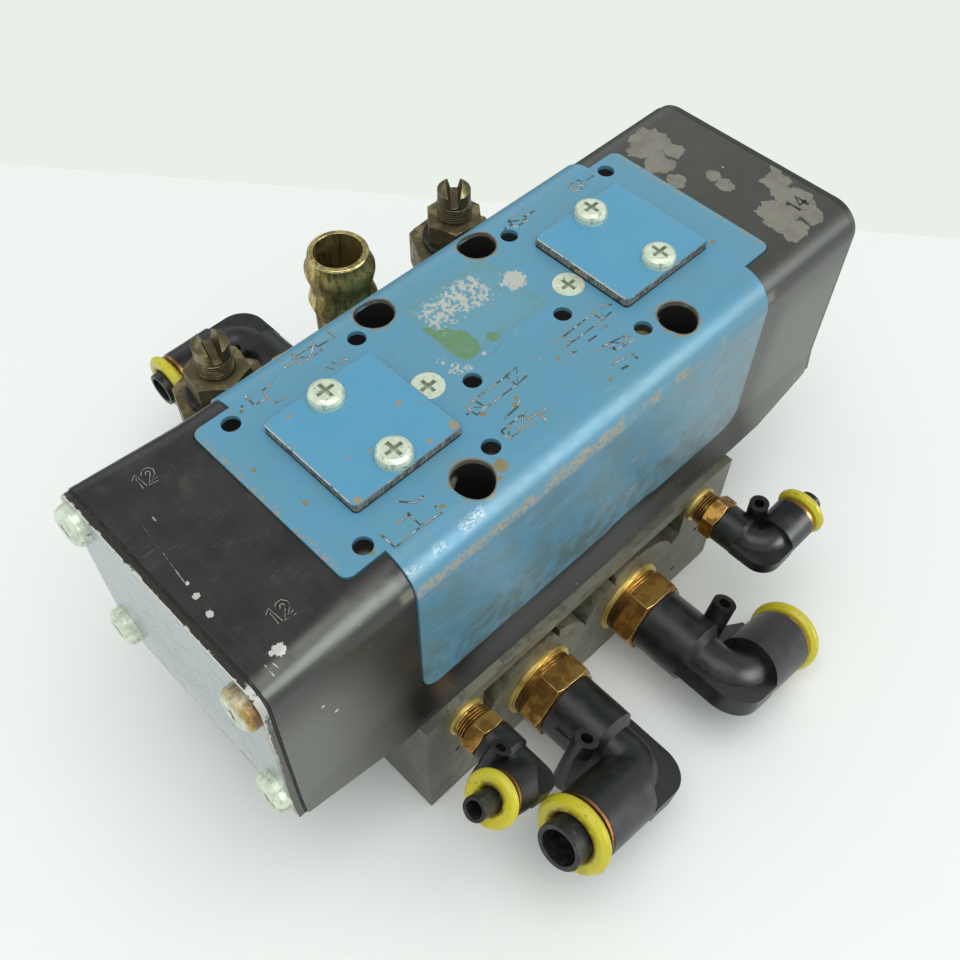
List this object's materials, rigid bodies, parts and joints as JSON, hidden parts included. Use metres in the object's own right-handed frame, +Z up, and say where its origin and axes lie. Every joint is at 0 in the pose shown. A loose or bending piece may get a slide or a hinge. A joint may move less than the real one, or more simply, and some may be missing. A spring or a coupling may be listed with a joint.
{
  "type": "directional control valve",
  "caption": "Air-piloted spool valve on a side-ported sub-base, with push-in elbows, exhaust regulators and a hose barb.",
  "frame": {"origin": "on the foot of the sub-base, under the middle of the four fixing holes of the valve", "axes": "+X along the valve towards its far end, +Y towards the rear with the exhaust regulators, +Z up"},
  "size_m": [0.1884, 0.1897, 0.1088],
  "materials": {
    "base_casting": "satin, worn olive-grey paint on a die casting",
    "body_paint": "satin black paint on a die casting, chipped at the edges",
    "cover_paint": "semi-gloss blue paint, scratched",
    "gasket_rubber": "matt",
    "screw_zinc": "zinc plated, satin",
    "end_plate_steel": "bare, dull",
    "spool_steel": "ground",
    "sleeve_aluminium": "turned",
    "fitting_brass": "tarnished",
    "grip_copper": "copper-brown",
    "elbow_plastic": "satin, dusty",
    "collar_plastic": "satin yellow, grimy",
    "tube_plastic": "satin"
  },
  "bodies": {
    "valve": {"base_gasket": "gasket_rubber", "cover_screws": "screw_zinc", "far_end_gasket": "gasket_rubber", "far_end_plate": "end_plate_steel", "far_end_screws": "screw_zinc", "far_large_elbow_stud": "fitting_brass", "far_pilot_gasket": "gasket_rubber", "far_pilot_plate": "cover_paint", "far_regulator_body": "fitting_brass", "far_regulator_washer": "gasket_rubber", "far_small_elbow_stud": "fitting_brass", "hose_barb": "fitting_brass", "near_end_gasket": "gasket_rubber", "near_end_plate": "end_plate_steel", "near_end_screws": "screw_zinc", "near_large_elbow_stud": "fitting_brass", "near_pilot_gasket": "gasket_rubber", "near_pilot_plate": "cover_paint", "near_regulator_body": "fitting_brass", "near_regulator_washer": "gasket_rubber", "near_small_elbow_stud": "fitting_brass", "pilot_plate_screws": "screw_zinc", "rear_elbow_stud": "fitting_brass", "sleeve_seals": "gasket_rubber", "spool_sleeve": "sleeve_aluminium", "sub_base": "base_casting", "top_cover": "cover_paint", "valve_body": "body_paint"},
    "spool_set": {"spool": "spool_steel", "near_piston": "sleeve_aluminium", "near_piston_seal": "gasket_rubber", "far_piston": "sleeve_aluminium", "far_piston_seal": "gasket_rubber"},
    "near_large_elbow_arm": {"near_large_elbow_body": "elbow_plastic", "near_large_elbow_grip_sleeve": "grip_copper", "near_large_elbow_tube_stub": "tube_plastic"},
    "near_large_elbow_release": {"near_large_elbow_collar": "collar_plastic"},
    "far_large_elbow_arm": {"far_large_elbow_body": "elbow_plastic", "far_large_elbow_grip_sleeve": "grip_copper"},
    "far_large_elbow_release": {"far_large_elbow_collar": "collar_plastic"},
    "near_small_elbow_arm": {"near_small_elbow_body": "elbow_plastic", "near_small_elbow_grip_sleeve": "grip_copper", "near_small_elbow_tube_stub": "tube_plastic"},
    "near_small_elbow_release": {"near_small_elbow_collar": "collar_plastic"},
    "far_small_elbow_arm": {"far_small_elbow_body": "elbow_plastic", "far_small_elbow_grip_sleeve": "grip_copper", "far_small_elbow_tube_stub": "tube_plastic"},
    "far_small_elbow_release": {"far_small_elbow_collar": "collar_plastic"},
    "rear_elbow_arm": {"rear_elbow_body": "elbow_plastic", "rear_elbow_grip_sleeve": "grip_copper", "rear_elbow_tube_stub": "tube_plastic"},
    "rear_elbow_release": {"rear_elbow_collar": "collar_plastic"},
    "near_regulator_lock_nut_turning": {"near_regulator_lock_nut": "fitting_brass"},
    "near_regulator_needle_turning": {"near_regulator_needle": "fitting_brass"},
    "far_regulator_lock_nut_turning": {"far_regulator_lock_nut": "fitting_brass"},
    "far_regulator_needle_turning": {"far_regulator_needle": "fitting_brass"}
  },
  "joints": [
    {"name": "spool_shift", "type": "slide", "parent": "valve", "child": "spool_set", "axis": [1, 0, 0], "range_m": [0, 0.009]},
    {"name": "near_large_elbow_swivel", "type": "hinge", "parent": "valve", "child": "near_large_elbow_arm", "pos_m": [-0.02225, -0.0384, 0.0203], "axis": [0, -1, 0], "range_deg": [-1, 40]},
    {"name": "near_large_elbow_collar_press", "type": "slide", "parent": "near_large_elbow_arm", "child": "near_large_elbow_release", "axis": [0.9272, 0, -0.3746], "range_m": [0, 0.0008], "stiffness_N_per_m": 600},
    {"name": "far_large_elbow_swivel", "type": "hinge", "parent": "valve", "child": "far_large_elbow_arm", "pos_m": [0.01305, -0.0384, 0.0203], "axis": [0, -1, 0], "range_deg": [-1, 40]},
    {"name": "far_large_elbow_collar_press", "type": "slide", "parent": "far_large_elbow_arm", "child": "far_large_elbow_release", "axis": [-0.9336, 0, 0.3584], "range_m": [0, 0.0008], "stiffness_N_per_m": 600},
    {"name": "near_small_elbow_swivel", "type": "hinge", "parent": "valve", "child": "near_small_elbow_arm", "pos_m": [-0.0483, -0.0384, 0.0382], "axis": [0, -1, 0], "range_deg": [-120, 80]},
    {"name": "near_small_elbow_collar_press", "type": "slide", "parent": "near_small_elbow_arm", "child": "near_small_elbow_release", "axis": [0.7986, 0, -0.6018], "range_m": [0, 0.0008], "stiffness_N_per_m": 600},
    {"name": "far_small_elbow_swivel", "type": "hinge", "parent": "valve", "child": "far_small_elbow_arm", "pos_m": [0.0391, -0.0384, 0.0382], "axis": [0, -1, 0], "range_deg": [-100, 160]},
    {"name": "far_small_elbow_collar_press", "type": "slide", "parent": "far_small_elbow_arm", "child": "far_small_elbow_release", "axis": [-0.9994, 0, -0.0349], "range_m": [0, 0.0008], "stiffness_N_per_m": 600},
    {"name": "rear_elbow_swivel", "type": "hinge", "parent": "valve", "child": "rear_elbow_arm", "pos_m": [-0.0114, 0.0675, 0.037], "axis": [0, 1, 0], "continuous": true},
    {"name": "rear_elbow_collar_press", "type": "slide", "parent": "rear_elbow_arm", "child": "rear_elbow_release", "axis": [0.9998, 0, 0.0175], "range_m": [0, 0.0008], "stiffness_N_per_m": 600},
    {"name": "near_lock_nut_turn", "type": "hinge", "parent": "valve", "child": "near_regulator_lock_nut_turning", "pos_m": [-0.04355, 0.051, 0.08], "axis": [0, 0, 1], "continuous": true},
    {"name": "near_needle_turn", "type": "hinge", "parent": "valve", "child": "near_regulator_needle_turning", "pos_m": [-0.04355, 0.051, 0.08], "axis": [0, 0, 1], "continuous": true},
    {"name": "far_lock_nut_turn", "type": "hinge", "parent": "valve", "child": "far_regulator_lock_nut_turning", "pos_m": [0.03435, 0.051, 0.08], "axis": [0, 0, 1], "continuous": true},
    {"name": "far_needle_turn", "type": "hinge", "parent": "valve", "child": "far_regulator_needle_turning", "pos_m": [0.03435, 0.051, 0.08], "axis": [0, 0, 1], "continuous": true}
  ]
}
